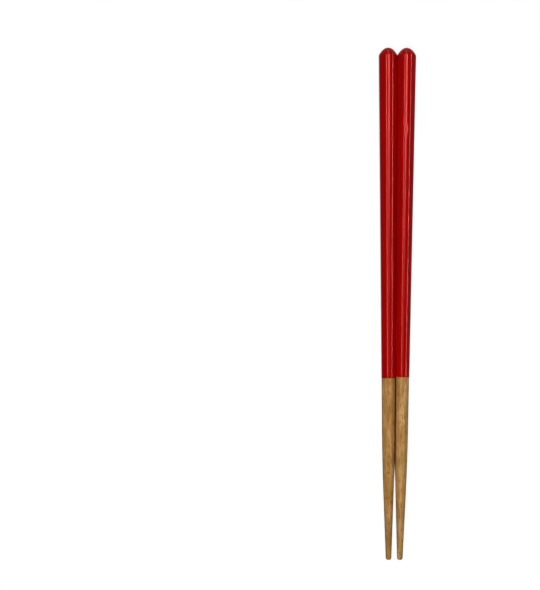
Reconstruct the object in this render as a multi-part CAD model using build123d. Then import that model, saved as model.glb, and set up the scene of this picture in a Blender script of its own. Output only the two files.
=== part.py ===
from build123d import *
import math
import os

# A pair of wooden chopsticks lying side by side, in millimetres with +Z up.
# The butts point to +Y and the tips to -Y. The floor is z = 0, and the sticks touch in the plane x = 0.

# Lengths along a stick, measured from the tip
LENGTH = 225.0
BARE_LENGTH = 80.0  # bare wood: the lacquer stops here
BEND_FROM_TIP = 45.0  # where the slight taper of the handle crosses the steeper one of the tip
BEND_LENGTH = 30.0  # the one taper eases into the other over this length

# Widths across the flats of the octagon
BUTT_WIDTH = 8.2
PAINT_LINE_WIDTH = 6.1
TIP_WIDTH = 2.4

# The facets lie in opposite pairs, evenly spaced round the stick: an even number of pairs, so that a facet
# on the floor has another square to it
FACET_PAIRS = 4

# The domed butt: a blunt nose that runs on into a flatter flank
DOME_DEPTH = 4.2  # from the end of the stick to the corners of the octagon
NOSE_SET_IN = 1.04  # the nose's radius is this much less than the reach of those corners
NOSE_TURN = 42.0  # degrees of arc, out from the axis

# Softened edges
EDGE_ROUND = 1.0  # along the eight long edges, so that the thin tip is nearly round
SHOULDER_ROUND = 0.5  # where the dome meets the facets
TIP_ROUND = 0.9  # round the blunt end of the tip
ROUND_LIMIT = 0.9  # no round takes more than this share of the form that it sits on

HANDLE_LENGTH = LENGTH - BARE_LENGTH
HANDLE_TAPER = math.atan((BUTT_WIDTH - PAINT_LINE_WIDTH) / 2 / HANDLE_LENGTH)
BEND_WIDTH = PAINT_LINE_WIDTH - 2 * math.tan(HANDLE_TAPER) * (BARE_LENGTH - BEND_FROM_TIP)
BUTT_CORNER_RADIUS = BUTT_WIDTH / 2 / math.cos(math.pi / FACET_PAIRS / 2)
NOSE_RADIUS = BUTT_CORNER_RADIUS - NOSE_SET_IN
EDGE_RADIUS = min(EDGE_ROUND, ROUND_LIMIT * TIP_WIDTH / 2)
SHOULDER_RADIUS = min(SHOULDER_ROUND, ROUND_LIMIT * EDGE_RADIUS)
TIP_RADIUS = min(TIP_ROUND, ROUND_LIMIT * EDGE_RADIUS)


def side_outline():
    """Outline of a stick, square to two facets: a slight taper that eases into the tip's steeper one."""
    butt = Vector(BUTT_WIDTH / 2, LENGTH)
    bend = Vector(BEND_WIDTH / 2, BEND_FROM_TIP)
    tip = Vector(TIP_WIDTH / 2, 0)
    above = bend + (butt - bend).normalized() * BEND_LENGTH / 2
    below = bend + (tip - bend).normalized() * BEND_LENGTH / 2
    side = [Line(butt, above), Bezier(above, bend, below), Line(below, tip)]
    middle = Polyline(tip, (0, 0), (0, LENGTH), butt)
    half = make_face([*side, middle])
    return half + mirror(half, about=Plane.YZ)


def planed_blank():
    """The stick planed on all sides: its outline cut through square to each pair of facets in turn."""
    slab = extrude(side_outline(), amount=BUTT_WIDTH, both=True)
    blank = slab
    for pair in range(1, FACET_PAIRS):
        blank &= Rot(Y=180 * pair / FACET_PAIRS) * slab
    return blank


def dome_envelope():
    """Body of revolution round the stick: domed over the butt, and clear of the corners below it."""
    nose = JernArc((0, LENGTH), (1, 0), NOSE_RADIUS, -NOSE_TURN)
    rim = Vector(BUTT_CORNER_RADIUS, LENGTH - DOME_DEPTH)
    flank = TangentArc(nose @ 1, rim, tangent=nose % 1)
    below_tip = -TIP_WIDTH
    sides = Polyline(rim, (rim.X, below_tip), (0, below_tip), (0, LENGTH))
    return revolve(make_face([nose, flank, sides]), axis=Axis.Y)


def chopstick():
    """One whole stick about the Y axis, with its tip at the origin."""
    stick = planed_blank()
    long_edges = stick.edges().filter_by(lambda edge: edge.bounding_box().size.Y > TIP_WIDTH)
    stick = fillet(long_edges, EDGE_RADIUS)
    stick = fillet(stick.edges().group_by(Axis.Y)[0], TIP_RADIUS)
    envelope = dome_envelope()
    domed = stick & envelope
    return fillet(new_edges(stick, envelope, combined=domed), SHOULDER_RADIUS)


def lay_down(stick):
    """Turn a stick so that one facet of its handle lies on the floor and another stands on x = 0."""
    tilt = math.degrees(math.atan(math.sin(HANDLE_TAPER)))
    turn = Rot(X=tilt) * Rot(Z=-math.degrees(HANDLE_TAPER))
    inner_facet = (turn * Pos(-PAINT_LINE_WIDTH / 2, BARE_LENGTH, 0)).position
    floor_facet = (turn * Pos(0, BARE_LENGTH, -PAINT_LINE_WIDTH / 2)).position
    return Pos(-inner_facet.X, -LENGTH / 2, -floor_facet.Z) * turn * stick


def main():
    """Make the right stick, mirror it for the left one and write them both."""
    right = lay_down(chopstick())
    left = mirror(right, about=Plane.YZ)
    os.makedirs("parts", exist_ok=True)
    export_step(right, "parts/right_chopstick.step")
    export_step(left, "parts/left_chopstick.step")


if __name__ == "__main__":
    main()
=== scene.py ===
"""A pair of lacquered wooden chopsticks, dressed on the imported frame, in metres."""

import logging
import math
from collections.abc import Iterable
from dataclasses import dataclass, field
from enum import Enum

import bpy
import numpy as np
from mathutils import Matrix, Vector


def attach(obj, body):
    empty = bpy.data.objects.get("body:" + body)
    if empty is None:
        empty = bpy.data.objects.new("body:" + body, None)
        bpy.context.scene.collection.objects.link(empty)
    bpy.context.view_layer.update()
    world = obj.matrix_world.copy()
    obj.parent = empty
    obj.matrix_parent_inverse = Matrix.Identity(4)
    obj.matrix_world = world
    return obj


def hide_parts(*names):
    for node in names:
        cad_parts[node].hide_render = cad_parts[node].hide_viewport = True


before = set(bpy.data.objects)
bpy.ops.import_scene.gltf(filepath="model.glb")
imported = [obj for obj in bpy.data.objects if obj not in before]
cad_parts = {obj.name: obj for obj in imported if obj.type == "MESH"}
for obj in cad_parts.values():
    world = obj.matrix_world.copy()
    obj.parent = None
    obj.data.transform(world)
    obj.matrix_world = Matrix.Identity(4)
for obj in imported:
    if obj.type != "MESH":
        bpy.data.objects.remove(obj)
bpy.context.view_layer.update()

LOG = logging.getLogger("chopsticks")

MM = 0.001
BODY = "root"

Colour = tuple[float, float, float]
Triple = tuple[float, float, float]
Range = tuple[float, float]

WHITE: Colour = (1.0, 1.0, 1.0)
NOISE_SPAN: Range = (0.25, 0.75)  # nearly all of a noise lies in here
SEED_WAY: Triple = (1.0, 0.37, -0.61)  # the way in which a seed moves a noise


class Side(Enum):
    """The two sticks of the pair. The value is the side of the plane x = 0 that a stick lies on."""

    LEFT = -1
    RIGHT = 1

    @property
    def node(self) -> str:
        """Name of the solid that this stick stands for."""
        return f"{self.name.lower()}_chopstick"

    @property
    def piece(self) -> str:
        """Name of the dressed stick."""
        return f"{self.name.lower()}_stick"


class Coat(Enum):
    """What covers a stretch of a stick. The value is the index of its material."""

    LACQUER = 0
    BARE = 1


class Use(Enum):
    """What a lamp is for. The value says which rays meet it."""

    LIGHT = "diffuse"
    MIRROR = "glossy"


@dataclass(frozen=True)
class Pattern:
    """A noise whose blotches are drawn out along the stick.

    It begins to show at the low end of its span, and shows by its full share from the high end on.
    """

    across: float
    along: float
    span: Range = NOISE_SPAN
    share: float = 1.0
    start: float = 0.0
    detail: float = 2.0
    roughness: float = 0.5


class NodeSheet:
    """A material's node tree, with short methods that add nodes and join them up."""

    def __init__(self, name: str) -> None:
        """Start an empty material.

        Args:
            name: the material's name.
        """
        self.material = bpy.data.materials.new(name)
        self.material.use_nodes = True
        self.tree = self.material.node_tree
        self.tree.nodes.clear()
        self.output = self.add("ShaderNodeOutputMaterial")
        self.place = self.add("ShaderNodeTexCoord").outputs["Object"]

    def add(self, kind: str, **settings: object) -> bpy.types.Node:
        """Add a node.

        Args:
            kind: the node's type.
            settings: attributes to set on it.

        Returns:
            The new node.
        """
        node = self.tree.nodes.new(kind)
        for name, value in settings.items():
            setattr(node, name, value)
        return node

    def feed(self, socket: bpy.types.NodeSocket, source: object) -> None:
        """Give a socket its source.

        Args:
            socket: the input to fill.
            source: another node's output, or a plain value.
        """
        if isinstance(source, bpy.types.NodeSocket):
            self.tree.links.new(source, socket)
        else:
            socket.default_value = source

    def axis(self, name: str) -> bpy.types.NodeSocket:
        """Add what gives one coordinate of the place on the piece.

        Args:
            name: X, Y or Z.

        Returns:
            The coordinate.
        """
        node = self.add("ShaderNodeSeparateXYZ")
        self.feed(node.inputs["Vector"], self.place)
        return node.outputs[name]

    def from_seam(self) -> bpy.types.NodeSocket:
        """Distance from the plane x = 0, where the sticks lie together."""
        return self.combine("ABSOLUTE", self.axis("X"), 0.0)

    def measured(self, unit: Triple, shift: Triple) -> bpy.types.NodeSocket:
        """Add what gives the place on the piece in other units.

        Args:
            unit: the length along X, Y and Z that becomes 1.
            shift: what is added then.

        Returns:
            The place.
        """
        mapping = self.add("ShaderNodeMapping")
        self.feed(mapping.inputs["Vector"], self.place)
        self.feed(mapping.inputs["Scale"], tuple(1.0 / size for size in unit))
        self.feed(mapping.inputs["Location"], shift)
        return mapping.outputs["Vector"]

    def noise(self, pattern: Pattern, seed: float) -> bpy.types.NodeSocket:
        """Add the noise of a pattern.

        Args:
            pattern: the pattern.
            seed: moves it to another part of the noise.

        Returns:
            The noise as a value about one half.
        """
        blotch = (pattern.across, pattern.along, pattern.across)
        shift = tuple((seed + pattern.start) * part for part in SEED_WAY)
        noise = self.add("ShaderNodeTexNoise")
        self.feed(noise.inputs["Vector"], self.measured(blotch, shift))
        self.feed(noise.inputs["Scale"], 1.0)
        self.feed(noise.inputs["Detail"], pattern.detail)
        self.feed(noise.inputs["Roughness"], pattern.roughness)
        return noise.outputs["Fac"]

    def swell(self, middle: Triple, reach: Triple) -> bpy.types.NodeSocket:
        """Add a value that is highest at one place and falls smoothly away from it.

        Args:
            middle: the place.
            reach: how far it extends along X, Y and Z.

        Returns:
            The value, 1 at the place and 0 beyond its reach.
        """
        shift = tuple(-at / size for at, size in zip(middle, reach))
        distance = self.add("ShaderNodeVectorMath", operation="LENGTH")
        self.feed(distance.inputs[0], self.measured(reach, shift))
        return self.remap(distance.outputs["Value"], (0.0, 1.0), (1.0, 0.0))

    def remap(self, value: bpy.types.NodeSocket, span: Range, onto: Range) -> bpy.types.NodeSocket:
        """Stretch a range of a value smoothly to another range.

        Args:
            value: what to stretch.
            span: where the range begins and ends.
            onto: what its beginning and its end become.

        Returns:
            The stretched value.
        """
        node = self.add("ShaderNodeMapRange", interpolation_type="SMOOTHSTEP")
        names = ("Value", "From Min", "From Max", "To Min", "To Max")
        for name, source in zip(names, (value, *span, *onto)):
            self.feed(node.inputs[name], source)
        return node.outputs["Result"]

    def shown(self, pattern: Pattern, noise: bpy.types.NodeSocket) -> bpy.types.NodeSocket:
        """How much of a pattern shows, given its noise."""
        return self.remap(noise, pattern.span, (0.0, pattern.share))

    def mix(self, share: bpy.types.NodeSocket, first: object, second: object) -> bpy.types.NodeSocket:
        """Blend two colours.

        Args:
            share: how much of the second shows.
            first: a colour or an output that gives one.
            second: likewise.

        Returns:
            The blended colour.
        """
        node = self.add("ShaderNodeMix", data_type="RGBA")
        self.feed(node.inputs["Factor"], share)
        for name, colour in (("A", first), ("B", second)):
            made = isinstance(colour, bpy.types.NodeSocket)
            self.feed(node.inputs[name], colour if made else (*colour, 1.0))
        return node.outputs["Result"]

    def combine(self, operation: str, first: object, second: object) -> bpy.types.NodeSocket:
        """Join two values by arithmetic.

        Args:
            operation: the arithmetic's name.
            first: a number or an output that gives one.
            second: likewise.

        Returns:
            The result.
        """
        node = self.add("ShaderNodeMath", operation=operation)
        self.feed(node.inputs[0], first)
        self.feed(node.inputs[1], second)
        return node.outputs["Value"]

    def bump(
        self, height: bpy.types.NodeSocket, depth: float, under: bpy.types.NodeSocket | None = None
    ) -> bpy.types.NodeSocket:
        """Raise the surface by a height field.

        Args:
            height: the field, from 0 to 1.
            depth: how high 1 stands.
            under: a coarser bump to lay this one on.

        Returns:
            The bumped normal.
        """
        node = self.add("ShaderNodeBump")
        self.feed(node.inputs["Height"], height)
        self.feed(node.inputs["Distance"], depth)
        if under is not None:
            self.feed(node.inputs["Normal"], under)
        return node.outputs["Normal"]

    def principled(self, **sockets: object) -> bpy.types.Material:
        """Close the tree with one surface shader.

        Args:
            sockets: the shader's inputs, with an underscore for each space in a name.

        Returns:
            The finished material.
        """
        shader = self.add("ShaderNodeBsdfPrincipled")
        for name, source in sockets.items():
            self.feed(shader.inputs[name.replace("_", " ")], source)
        self.tree.links.new(shader.outputs["BSDF"], self.output.inputs["Surface"])
        return self.material


@dataclass(frozen=True)
class LacquerFinish:
    """Red lacquer, brushed on in thin coats and polished: glossy, with faint waves along the stick.

    The flaw is the place of a shallow dent, on a stick that has one.
    """

    seed: float
    flaw: Triple | None = None
    deep: Colour = (0.270, 0.0010, 0.0007)
    bright: Colour = (0.325, 0.0013, 0.0010)
    shine: float = 0.05
    shine_tint: Colour = (1.0, 0.18, 0.165)
    roughness: Range = (0.15, 0.21)
    stretch: float = 1.0  # of the mirrored lamps, along the stick
    stretch_turn: float = 0.25  # of a full turn
    cloud: Pattern = Pattern(3.0 * MM, 26.0 * MM, (0.30, 0.70), detail=3.0)
    brushing: Pattern = Pattern(0.35 * MM, 22.0 * MM, start=5.0, detail=4.0)
    wave: Pattern = Pattern(1.6 * MM, 40.0 * MM, start=9.0, detail=1.0)
    wave_height: float = 0.002 * MM
    peel: Pattern = Pattern(0.5 * MM, 1.2 * MM, start=13.0, detail=1.0)
    peel_height: float = 0.0003 * MM
    flaw_reach: Triple = (1.3 * MM, 3.2 * MM, 1.3 * MM)
    flaw_depth: float = 0.040 * MM

    def material(self) -> bpy.types.Material:
        """Make the lacquer.

        Returns:
            The material.
        """
        sheet = NodeSheet("red_lacquer")
        cloud = sheet.noise(self.cloud, self.seed)
        brushing = sheet.noise(self.brushing, self.seed)
        normal = sheet.bump(sheet.noise(self.wave, self.seed), self.wave_height)
        if self.flaw is not None:
            normal = sheet.bump(sheet.swell(self.flaw, self.flaw_reach), -self.flaw_depth, normal)
        normal = sheet.bump(sheet.noise(self.peel, self.seed), self.peel_height, normal)
        tangent = sheet.add("ShaderNodeTangent", direction_type="RADIAL", axis="Y")
        return sheet.principled(
            Base_Color=sheet.mix(sheet.shown(self.cloud, cloud), self.deep, self.bright),
            Roughness=sheet.remap(brushing, NOISE_SPAN, self.roughness),
            Specular_IOR_Level=self.shine,
            Specular_Tint=(*self.shine_tint, 1.0),
            Anisotropic=self.stretch,
            Anisotropic_Rotation=self.stretch_turn,
            Tangent=tangent.outputs["Tangent"],
            Normal=normal,
        )


@dataclass(frozen=True)
class BareWoodFinish:
    """Planed, oiled hardwood: long soft figure, patches, fine fibres and short dark pores.

    It is darker towards the tip. Along the seam where the sticks lie together it carries painted shade:
    a broad darkening and a dark line stand in for the shadow between the sticks.
    """

    seed: float
    tone: Colour
    tip_darkening: float
    pale: Colour = (0.560, 0.306, 0.134)
    brown: Colour = (0.335, 0.174, 0.056)
    gold: Colour = (0.428, 0.244, 0.072)
    pore: Colour = (0.160, 0.066, 0.012)
    # darker brown, used towards the tip and as painted shade along the seam
    tip_dark_and_seam_shade: Colour = (0.150, 0.076, 0.011)
    # painted shadow colour for the dark line where the sticks touch
    painted_seam_shadow: Colour = (0.115, 0.018, 0.0002)
    roughness: Range = (0.55, 0.70)
    figure: Pattern = Pattern(1.3 * MM, 9.0 * MM, (0.34, 0.66))
    band: Pattern = Pattern(1.6 * MM, 34.0 * MM, (0.42, 0.66), share=0.60, start=7.0)
    patch: Pattern = Pattern(
        2.4 * MM, 7.0 * MM, (0.47, 0.57), share=0.50, start=9.0, detail=3.0, roughness=0.55
    )
    fibre: Pattern = Pattern(
        0.45 * MM, 6.0 * MM, (0.46, 0.74), share=0.40, start=3.0, detail=4.0, roughness=0.60
    )
    fibre_height: float = 0.020 * MM
    fleck: Pattern = Pattern(0.50 * MM, 2.2 * MM, (0.60, 0.72), share=0.70, start=11.0, detail=1.0)
    pore_depth: float = 0.030 * MM
    tip_darkening_span: Range = (-112.5 * MM, -55.0 * MM)
    # painted shade: a broad darkening along the seam
    seam_shade_span: Range = (0.0, 2.40 * MM)
    seam_shade_share: float = 0.30
    # painted shadow: a dark line down the seam
    seam_shadow_span: Range = (0.08 * MM, 0.60 * MM)
    seam_shadow_share: float = 0.95

    def shade(self, colour: Colour) -> Colour:
        """A colour of this wood, brought to the tone of its stick."""
        return tuple(tone * part for tone, part in zip(self.tone, colour))

    def material(self) -> bpy.types.Material:
        """Make the wood.

        Returns:
            The material.
        """
        sheet = NodeSheet("bare_wood")
        fibre = sheet.noise(self.fibre, self.seed)
        pores = sheet.shown(self.fleck, sheet.noise(self.fleck, self.seed))
        from_seam = sheet.from_seam()
        layers = (
            (sheet.shown(self.figure, sheet.noise(self.figure, self.seed)), self.pale),
            (sheet.shown(self.band, sheet.noise(self.band, self.seed)), self.gold),
            (sheet.shown(self.patch, sheet.noise(self.patch, self.seed)), self.brown),
            (sheet.shown(self.fibre, fibre), self.brown),
            (pores, self.pore),
            # darker towards the tip
            (sheet.remap(sheet.axis("Y"), self.tip_darkening_span, (self.tip_darkening, 0.0)), self.tip_dark_and_seam_shade),
            # painted shade: a broad darkening along the seam where the sticks lie together
            (sheet.remap(from_seam, self.seam_shade_span, (self.seam_shade_share, 0.0)), self.tip_dark_and_seam_shade),
        )
        colour = self.shade(self.brown)
        for share, layer in layers:
            colour = sheet.mix(share, colour, self.shade(layer))
        # painted shadow: a dark line down the seam, between the sticks
        seam_shadow_mask = sheet.remap(from_seam, self.seam_shadow_span, (self.seam_shadow_share, 0.0))
        planed = sheet.bump(fibre, self.fibre_height)
        return sheet.principled(
            Base_Color=sheet.mix(seam_shadow_mask, colour, self.painted_seam_shadow),
            Roughness=sheet.remap(fibre, NOISE_SPAN, self.roughness),
            Specular_IOR_Level=0.0,
            Normal=sheet.bump(sheet.combine("SUBTRACT", 1.0, pores), self.pore_depth, planed),
        )


@dataclass(frozen=True)
class StickForm:
    """The sizes of one stick. Lengths are measured from the tip, widths across the flats of the octagon."""

    length: float = 225.0 * MM
    bare_length: float = 80.0 * MM
    bend_from_tip: float = 45.0 * MM
    bend_length: float = 30.0 * MM
    butt_width: float = 8.2 * MM
    paint_line_width: float = 6.1 * MM
    tip_width: float = 2.4 * MM
    facets: int = 8
    dome_depth: float = 4.2 * MM
    nose_set_in: float = 1.04 * MM
    nose_turn: float = math.radians(42.0)
    edge_round: float = 1.0 * MM
    shoulder_round: float = 0.5 * MM
    tip_round: float = 0.9 * MM

    @property
    def corner_reach(self) -> float:
        """How far the sharp corners of the octagon would stand from the axis at the butt."""
        return self.butt_width / 2 / math.cos(math.pi / self.facets)

    @property
    def nose_radius(self) -> float:
        """Radius of the blunt nose of the dome."""
        return self.corner_reach - self.nose_set_in

    @property
    def slope(self) -> float:
        """How much of its half width the handle loses for each unit of length."""
        return (self.butt_width - self.paint_line_width) / 2 / (self.length - self.bare_length)

    def handle_half_width(self, along: np.ndarray | float) -> np.ndarray | float:
        """Half the width of the handle's own taper, carried on as far as asked."""
        return self.paint_line_width / 2 + self.slope * (along - self.bare_length)

    @property
    def bend(self) -> float:
        """How much steeper the tip tapers than the handle."""
        width = self.handle_half_width(self.bend_from_tip)
        return (width - self.tip_width / 2) / self.bend_from_tip - self.slope

    def half_width(self, along: np.ndarray) -> np.ndarray:
        """Half the width across the flats.

        Args:
            along: distances from the tip.

        Returns:
            The half widths there.
        """
        below = np.clip(self.bend_from_tip + self.bend_length / 2 - along, 0.0, None)
        easing = np.minimum(below, self.bend_length)
        drop = easing**2 / (2 * self.bend_length) + below - easing
        return self.handle_half_width(along) - self.bend * drop

    def rest_turn(self) -> Matrix:
        """The turn and shift that lay a stick on the floor, with its inner facet in the plane x = 0.

        Returns:
            The matrix that takes the stick from its own axis, along Y, to its place.
        """
        taper = math.atan(self.slope)
        turn = Matrix.Rotation(math.atan(math.sin(taper)), 4, "X") @ Matrix.Rotation(-taper, 4, "Z")
        inner = turn @ Vector((-self.paint_line_width / 2, self.bare_length, 0.0))
        floor = turn @ Vector((0.0, self.bare_length, -self.paint_line_width / 2))
        return Matrix.Translation((-inner.x, -self.length / 2, -floor.z)) @ turn


@dataclass
class OctagonSection:
    """The octagon that runs along a stick: faintly crowned facets that pass smoothly into rounded edges.

    Each point is a corner or side point of a smaller octagon, pushed out by about the edge round.
    """

    form: StickForm
    roll: float = 0.0
    steps_on_flat: int = 6
    steps_on_round: int = 6
    crown: float = math.radians(4.4)
    core: np.ndarray = field(init=False)
    push: np.ndarray = field(init=False)
    dip: np.ndarray = field(init=False)

    def __post_init__(self) -> None:
        """Lay out the points once round, facet by facet, each facet followed by its rounded edge."""
        turn = 2 * math.pi / self.form.facets
        half = turn / 2
        swell = 1 / (math.cos(self.crown) - math.sin(self.crown) / math.tan(half))
        sink = swell * math.sin(self.crown) / math.sin(half)
        deepest = 0.5 * math.tan(self.crown) * math.tan(half)
        core, push, dip = [], [], []
        for facet in range(self.form.facets):
            facing = facet * turn + self.roll
            out = self.direction(facing)
            side = self.direction(facing + math.pi / 2)
            corner = out + math.tan(half) * side
            for step in range(self.steps_on_flat):
                across = 2 * step / self.steps_on_flat - 1
                core.append(out + across * math.tan(half) * side)
                push.append(out)
                dip.append(deepest * across**2)
            for step in range(self.steps_on_round):
                angle = self.crown + (turn - 2 * self.crown) * step / self.steps_on_round
                core.append(corner)
                push.append(swell * self.direction(facing + angle) - sink * self.direction(facing + half))
                dip.append(deepest)
        self.core, self.push, self.dip = np.array(core), np.array(push), np.array(dip)

    @staticmethod
    def direction(angle: float) -> np.ndarray:
        """The unit vector at an angle round the stick."""
        return np.array((math.cos(angle), math.sin(angle)))

    @property
    def count(self) -> int:
        """How many points go once round."""
        return len(self.dip)

    def points(self, along: np.ndarray, inset: float | np.ndarray = 0.0) -> np.ndarray:
        """Points once round the stick.

        Args:
            along: distance from the tip at each point.
            inset: how far the surface lies below the solid's.

        Returns:
            The points' places across the stick, one row each.
        """
        edge = self.form.edge_round
        flat = self.form.half_width(along) - edge
        return flat[:, None] * self.core + (edge - flat * self.dip - inset)[:, None] * self.push


@dataclass
class Chopstick:
    """One stick: a planed octagon with a domed, lacquered butt and a bare tip.

    The lacquer is a film that stands on the wood. At its edge the wood lies lower by the film, and the step
    fades out towards the tip.
    """

    side: Side
    lacquer: LacquerFinish
    wood: BareWoodFinish
    paint_line: float
    roll: float = 0.0
    form: StickForm = field(default_factory=StickForm)
    film: float = 0.11 * MM
    film_fade: float = 60.0 * MM
    lip: float = 0.12 * MM
    line_wander: float = 0.06 * MM
    line_waves: tuple[int, int] = (2, 5)
    line_phases: tuple[float, float] = (1.3, 0.7)
    fine_share: float = 0.6
    ring_step: float = 2.0 * MM
    steps_on_curve: int = 7
    section: OctagonSection = field(init=False)
    edge: np.ndarray = field(init=False)

    def __post_init__(self) -> None:
        """Lay out the section and the wandering edge of the lacquer, which has broad waves and fine ones."""
        self.section = OctagonSection(self.form, self.roll)
        turns = np.linspace(0.0, 2 * math.pi, self.section.count, endpoint=False)
        broad, fine = self.line_waves
        broad_phase, fine_phase = self.line_phases
        wander = np.sin(broad * turns + broad_phase * self.side.value)
        wander += self.fine_share * np.sin(fine * turns + fine_phase)
        self.edge = self.paint_line + self.line_wander * wander

    def ring(self, along: np.ndarray, inset: float | np.ndarray = 0.0) -> np.ndarray:
        """One ring of the planed sides.

        Args:
            along: distance from the tip at each point.
            inset: how far the surface lies below the solid's.

        Returns:
            The ring's points about the stick's own axis.
        """
        across = self.section.points(along, inset)
        return np.stack((across[:, 0], along, across[:, 1]), axis=1)

    def tip_rings(self) -> list[np.ndarray]:
        """Rings of the blunt tip, from its middle out to the planed sides.

        Returns:
            The rings.
        """
        form = self.form
        side = self.section.points(np.full(self.section.count, form.tip_round))
        reach = np.linalg.norm(side, axis=1)
        ways = side / reach[:, None]
        rings = []
        for share in (0.5, 1.0):
            rings.append(self.spun(ways, share * (reach - form.tip_round), np.zeros_like(reach)))
        for step in range(1, self.steps_on_curve + 1):
            angle = 0.5 * math.pi * step / self.steps_on_curve
            out = reach - form.tip_round * (1 - math.sin(angle))
            rings.append(self.spun(ways, out, np.full_like(reach, form.tip_round * (1 - math.cos(angle)))))
        return rings

    @staticmethod
    def spun(ways: np.ndarray, reach: np.ndarray, along: np.ndarray) -> np.ndarray:
        """Points at a distance from the axis.

        Args:
            ways: each point's direction across the stick.
            reach: its distance from the axis.
            along: its distance from the tip.

        Returns:
            The points about the stick's own axis.
        """
        return np.stack((ways[:, 0] * reach, along, ways[:, 1] * reach), axis=1)

    def bare_rings(self) -> list[np.ndarray]:
        """Rings of the bare wood, from the tip up to the foot of the lacquer.

        Returns:
            The rings.
        """
        start = self.form.tip_round
        count = round((self.paint_line - start) / self.ring_step)
        rings = []
        for step in range(1, count + 1):
            along = start + (self.edge - start) * step / count
            rise = np.clip(1 - (self.edge - along) / self.film_fade, 0.0, 1.0)
            rings.append(self.ring(along, self.film * rise**2 * (3 - 2 * rise)))
        rings.insert(-1, self.ring(self.edge - self.lip, self.film))
        return rings

    def lip_rings(self) -> list[np.ndarray]:
        """Rings of the rounded edge where the lacquer stands on the wood.

        Returns:
            The rings.
        """
        rings = []
        for step in range(1, self.steps_on_curve + 1):
            angle = 0.5 * math.pi * step / self.steps_on_curve
            inset = self.film * (1 - math.sin(angle))
            rings.append(self.ring(self.edge + self.lip * (1 - math.cos(angle)), inset))
        return rings

    def butt_rings(self) -> list[np.ndarray]:
        """Rings of the lacquered handle and its dome.

        The dome is a blunt nose that runs on into a flatter flank. Where the flank meets the sides, an arc
        softens the corner, so the shoulder rises and falls with the octagon.

        Returns:
            The rings, from the edge of the lacquer to the end of the stick.
        """
        form, section = self.form, self.section
        rim = np.array((form.corner_reach, form.length - form.dome_depth))
        nose_middle = np.array((0.0, form.length - form.nose_radius))
        turn = np.array((math.sin(form.nose_turn), math.cos(form.nose_turn)))
        nose_turn = np.full(section.count, form.nose_turn)
        nose_end = nose_middle + form.nose_radius * turn
        run = rim - nose_end
        flank_radius = -(run @ run) / (2 * run @ turn)
        flank_middle = nose_end - flank_radius * turn

        near = np.full(section.count, rim[1])
        reach = np.linalg.norm(section.points(near), axis=1)
        slope = (np.linalg.norm(section.points(near + self.ring_step), axis=1) - reach) / self.ring_step
        square = np.sqrt(1 + slope**2)
        soft = form.shoulder_round
        start = reach - soft * square - flank_middle[0] + slope * (flank_middle[1] - rim[1])
        # the middle of that arc lies its radius inside both the sides and the flank
        a, b, c = square**2, slope * start, start**2 - (flank_radius - soft) ** 2
        up = (np.sqrt(b**2 - a * c) - b) / a
        middle = np.stack((flank_middle[0] + start + slope * up, flank_middle[1] + up), axis=1)
        sides_end = middle[:, 1] - soft * slope / square

        rings = []
        first = self.edge + self.lip
        count = round((form.length - self.paint_line) / self.ring_step)
        for step in range(1, count + 1):
            rings.append(self.ring(first + (sides_end - first) * step / count))
        ways = rings[-1][:, (0, 2)] / np.linalg.norm(rings[-1][:, (0, 2)], axis=1)[:, None]

        out = middle - flank_middle
        shoulder_turn = np.arctan2(out[:, 0], out[:, 1])
        side_turn = np.arctan2(1.0, -slope)
        arcs = (
            (middle.T, soft, side_turn, shoulder_turn),
            (flank_middle, flank_radius, shoulder_turn, nose_turn),
            (nose_middle, form.nose_radius, nose_turn, np.zeros(section.count)),
        )
        for (axis_reach, level), radius, begin, end in arcs:
            for step in range(1, self.steps_on_curve + 1):
                angle = begin + (end - begin) * step / self.steps_on_curve
                reach, along = axis_reach + radius * np.sin(angle), level + radius * np.cos(angle)
                rings.append(self.spun(ways, reach, along))
        # the last ring has shrunk to the end of the stick, which is one point of the mesh
        return rings[:-1]

    def skin(self, rings: int, bare_rings: int) -> tuple[list[list[int]], list[int]]:
        """Faces that join the tip, the rings and the end of the stick.

        Args:
            rings: how many rings there are.
            bare_rings: how many of them lie on the bare wood.

        Returns:
            The points of each face, and the index of its material.
        """
        around = self.section.count
        faces, coats = [], []
        for level in range(-1, rings):
            coat = Coat.BARE if level < bare_rings - 1 else Coat.LACQUER
            first, above = 1 + level * around, 1 + (level + 1) * around
            for column in range(around):
                beside = (column + 1) % around
                low = [first + column, first + beside] if level >= 0 else [0]
                high = [above + beside, above + column] if level < rings - 1 else [above]
                face = low + high
                faces.append(face if self.side is Side.LEFT else face[::-1])
                coats.append(coat.value)
        return faces, coats

    def build(self) -> bpy.types.Object:
        """Make the stick's mesh and lay it in its place.

        Returns:
            The stick, undressed.
        """
        bare = [*self.tip_rings(), *self.bare_rings()]
        rings = [*bare, *self.lip_rings(), *self.butt_rings()]
        tip = np.zeros((1, 3))
        end = np.array([(0.0, self.form.length, 0.0)])
        points = np.concatenate((tip, *rings, end))
        turn = np.array(self.form.rest_turn())
        points = points @ turn[:3, :3].T + turn[:3, 3]
        points[:, 0] *= self.side.value
        faces, coats = self.skin(len(rings), len(bare))

        mesh = bpy.data.meshes.new(self.side.piece)
        mesh.from_pydata(points.tolist(), [], faces)
        mesh.polygons.foreach_set("use_smooth", [True] * len(faces))
        mesh.polygons.foreach_set("material_index", coats)
        mesh.validate()
        mesh.update()
        piece = bpy.data.objects.new(self.side.piece, mesh)
        bpy.context.scene.collection.objects.link(piece)
        return piece

    def dress(self, piece: bpy.types.Object) -> None:
        """Give the stick its two finishes.

        Args:
            piece: the stick.
        """
        piece.data.materials.append(self.lacquer.material())
        piece.data.materials.append(self.wood.material())

    def settle(self, piece: bpy.types.Object) -> None:
        """Tie the stick to the frame, in place of its solid.

        Args:
            piece: the stick.
        """
        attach(piece, BODY)
        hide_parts(self.side.node)


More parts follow.
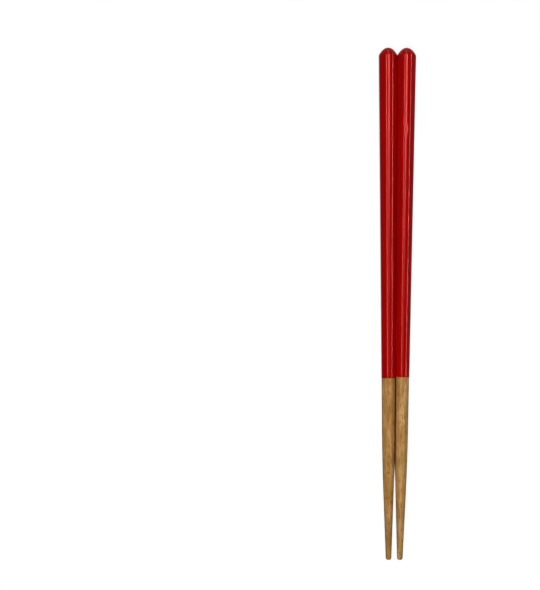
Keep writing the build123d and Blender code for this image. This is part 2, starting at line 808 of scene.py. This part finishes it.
@dataclass(frozen=True)
class Lamp:
    """A soft rectangular lamp that faces a point of the pair."""

    name: str
    use: Use
    place: Triple
    target: Triple
    size: tuple[float, float]
    radiance: float
    turn: float = 0.0

    def hang(self) -> bpy.types.Object:
        """Put the lamp in its place.

        Returns:
            The lamp.
        """
        width, length = self.size
        light = bpy.data.lights.new(self.name, "AREA")
        light.shape = "RECTANGLE"
        light.size, light.size_y = width, length
        light.energy = self.radiance * math.pi * width * length
        lamp = bpy.data.objects.new(self.name, light)
        bpy.context.scene.collection.objects.link(lamp)
        back = (Vector(self.place) - Vector(self.target)).normalized()
        right = Vector((0.0, 1.0, 0.0)).cross(back).normalized()
        facing = Matrix((right, back.cross(right), back)).transposed().to_4x4()
        lamp.matrix_world = Matrix.Translation(self.place) @ facing @ Matrix.Rotation(self.turn, 4, "Z")
        lamp.visible_camera = False
        lamp.visible_diffuse = self.use is Use.LIGHT
        lamp.visible_glossy = self.use is Use.MIRROR
        return lamp


@dataclass
class Studio:
    """A white table under soft lamps, with a white surround.

    The table's glow is held back under the seam, a painted shadow, between the places along it where the tips
    part and the domes do.
    """

    table_size: float = 8.0
    table_drop: float = 0.02 * MM
    ambient: float = 0.06
    glow: float = 0.89
    paper: Colour = (0.13, 0.13, 0.13)
    # where the painted shadow under the seam lies, and its warm tint
    seam_shade: Range = (1.5 * MM, 2.5 * MM)
    gap_opens: Range = (-79.0 * MM, -68.5 * MM)
    gap_shadow_tint: Colour = (1.0, 0.80, 0.52)
    notch_opens: Range = (107.5 * MM, 109.5 * MM)

    @staticmethod
    def seen_directly(tree: bpy.types.NodeTree) -> bpy.types.NodeSocket:
        """Add what tells the rays that see the surround as it is.

        Args:
            tree: the node tree to add to.

        Returns:
            1 for camera, glossy and transmission rays, and 0 for the rest.
        """
        path = tree.nodes.new("ShaderNodeLightPath")
        total = path.outputs["Is Camera Ray"]
        for name in ("Is Glossy Ray", "Is Transmission Ray"):
            either = tree.nodes.new("ShaderNodeMath")
            either.operation = "MAXIMUM"
            tree.links.new(total, either.inputs[0])
            tree.links.new(path.outputs[name], either.inputs[1])
            total = either.outputs["Value"]
        return total

    def paper_material(self) -> bpy.types.Material:
        """Make the white paper: it glows, except for a painted shadow where the pair closes over it, and takes
        a soft shadow.

        Returns:
            The material.
        """
        sheet = NodeSheet("white_paper")
        # painted shadow: no glow under the closed seam, and a warm tint where the tips part
        clear = sheet.remap(sheet.from_seam(), self.seam_shade, (0.0, 1.0))
        ahead = sheet.remap(sheet.axis("Y"), self.gap_opens, (1.0, 0.0))
        behind = sheet.remap(sheet.axis("Y"), self.notch_opens, (0.0, 1.0))
        for way_out in (ahead, behind):
            clear = sheet.combine("MAXIMUM", clear, way_out)
        lit = sheet.combine("MULTIPLY", clear, self.glow)
        light = sheet.add("ShaderNodeEmission")
        sheet.feed(light.inputs["Color"], sheet.mix(clear, self.gap_shadow_tint, WHITE))
        sheet.feed(light.inputs["Strength"], sheet.combine("MULTIPLY", lit, self.seen_directly(sheet.tree)))
        matt = sheet.add("ShaderNodeBsdfDiffuse")
        sheet.feed(matt.inputs["Color"], (*self.paper, 1.0))
        both = sheet.add("ShaderNodeAddShader")
        sheet.feed(both.inputs[0], matt.outputs["BSDF"])
        sheet.feed(both.inputs[1], light.outputs["Emission"])
        sheet.feed(sheet.output.inputs["Surface"], both.outputs["Shader"])
        sheet.material.cycles.emission_sampling = "NONE"
        return sheet.material

    def lay_table(self) -> bpy.types.Object:
        """Make the white table top.

        Returns:
            The table top.
        """
        half = self.table_size / 2
        outline = ((-half, -half), (half, -half), (half, half), (-half, half))
        mesh = bpy.data.meshes.new("table_floor")
        mesh.from_pydata([(x, y, -self.table_drop) for x, y in outline], [], [(0, 1, 2, 3)])
        mesh.materials.append(self.paper_material())
        table = bpy.data.objects.new("table_floor", mesh)
        bpy.context.scene.collection.objects.link(table)
        return table

    def surround(self) -> None:
        """Make the world white to look at and a gentle, even fill for the pair."""
        world = bpy.data.worlds.new("soft_surround")
        bpy.context.scene.world = world
        world.use_nodes = True
        tree = world.node_tree
        background = tree.nodes["Background"]
        background.inputs["Color"].default_value = (*WHITE, 1.0)
        strength = tree.nodes.new("ShaderNodeMapRange")
        strength.inputs["To Min"].default_value = self.ambient
        strength.inputs["To Max"].default_value = self.glow
        tree.links.new(self.seen_directly(tree), strength.inputs["Value"])
        tree.links.new(strength.outputs["Result"], background.inputs["Strength"])

    def lamps(self) -> Iterable[Lamp]:
        """The lamps: two that light the pair, and four that the lacquer mirrors.

        Returns:
            The lamps.
        """
        tilt = 0.045  # the long strip follows the streaks, which lie a little askew
        return (
            Lamp("overhead", Use.LIGHT, (-0.090, -0.16, 0.55), (0.0, -0.02, 0.0), (0.30, 0.30), 10.4),
            Lamp("head_lamp", Use.LIGHT, (0.0, 1.30, 0.60), (0.0, 0.0, 0.0), (0.50, 0.50), 14.0),
            Lamp("long_strip", Use.MIRROR, (-0.028, 0.04, 0.52), (0.0, 0.04, 0.0), (0.0125, 0.70), 385.0, tilt),
            Lamp("butt_strip", Use.MIRROR, (0.048, 0.185, 0.52), (0.0, 0.09, 0.0), (0.025, 0.17), 350.0),
            Lamp("right_softbox", Use.MIRROR, (0.39, 0.02, 0.27), (0.0, 0.02, 0.0), (0.14, 0.80), 145.0),
            Lamp("dome_lamp", Use.MIRROR, (-0.01, 0.95, 0.07), (0.0, 0.11, 0.0), (0.16, 0.06), 60.0),
        )


@dataclass(frozen=True)
class TopCamera:
    """A camera that looks straight down, placed so that the pair falls where the picture has it.

    Its height above the pair is counted in pixels.
    """

    picture: tuple[int, int] = (540, 590)
    pair_middle: tuple[float, float] = (395.9, 304.2)
    pixel: float = 0.4390 * MM
    height: float = 1200.0
    roll: float = math.radians(0.317)
    pair_level: float = 3.9 * MM
    sensor: float = 36.0

    def set_up(self) -> bpy.types.Object:
        """Make the camera and look through it.

        Returns:
            The camera.
        """
        data = bpy.data.cameras.new("top_camera")
        data.sensor_width = self.sensor
        data.lens = self.sensor * self.height / max(self.picture)
        camera = bpy.data.objects.new("top_camera", data)
        bpy.context.scene.collection.objects.link(camera)
        right = self.pixel * (self.pair_middle[0] - self.picture[0] / 2)
        up = self.pixel * (self.picture[1] / 2 - self.pair_middle[1])
        turn = Matrix.Rotation(self.roll, 4, "Z")
        above = Matrix.Translation((0.0, 0.0, self.pair_level + self.pixel * self.height))
        camera.matrix_world = above @ turn @ Matrix.Translation((-right, -up, 0.0))
        bpy.context.scene.camera = camera
        return camera


def main() -> None:
    """Build the pair, the studio and the camera."""
    logging.basicConfig(level=logging.INFO, format="%(name)s: %(message)s")
    sticks = (
        Chopstick(
            Side.LEFT,
            LacquerFinish(1.7),
            BareWoodFinish(2.3, tone=(0.91, 0.87, 0.74), tip_darkening=0.32),
            paint_line=80.1 * MM,
        ),
        Chopstick(
            Side.RIGHT,
            LacquerFinish(21.4, flaw=(3.8 * MM, 76.5 * MM, 7.7 * MM)),
            BareWoodFinish(31.9, tone=(1.00, 1.02, 0.95), tip_darkening=0.22),
            paint_line=80.6 * MM,
            roll=math.radians(-0.2),
        ),
    )
    for stick in sticks:
        piece = stick.build()
        stick.dress(piece)
        stick.settle(piece)
        LOG.info("%s: %d faces", piece.name, len(piece.data.polygons))
    studio = Studio()
    studio.lay_table()
    studio.surround()
    for lamp in studio.lamps():
        lamp.hang()
        LOG.info("lamp %s", lamp.name)
    TopCamera().set_up()
    bpy.context.scene.view_settings.view_transform = "Standard"


if __name__ == "__main__":
    main()
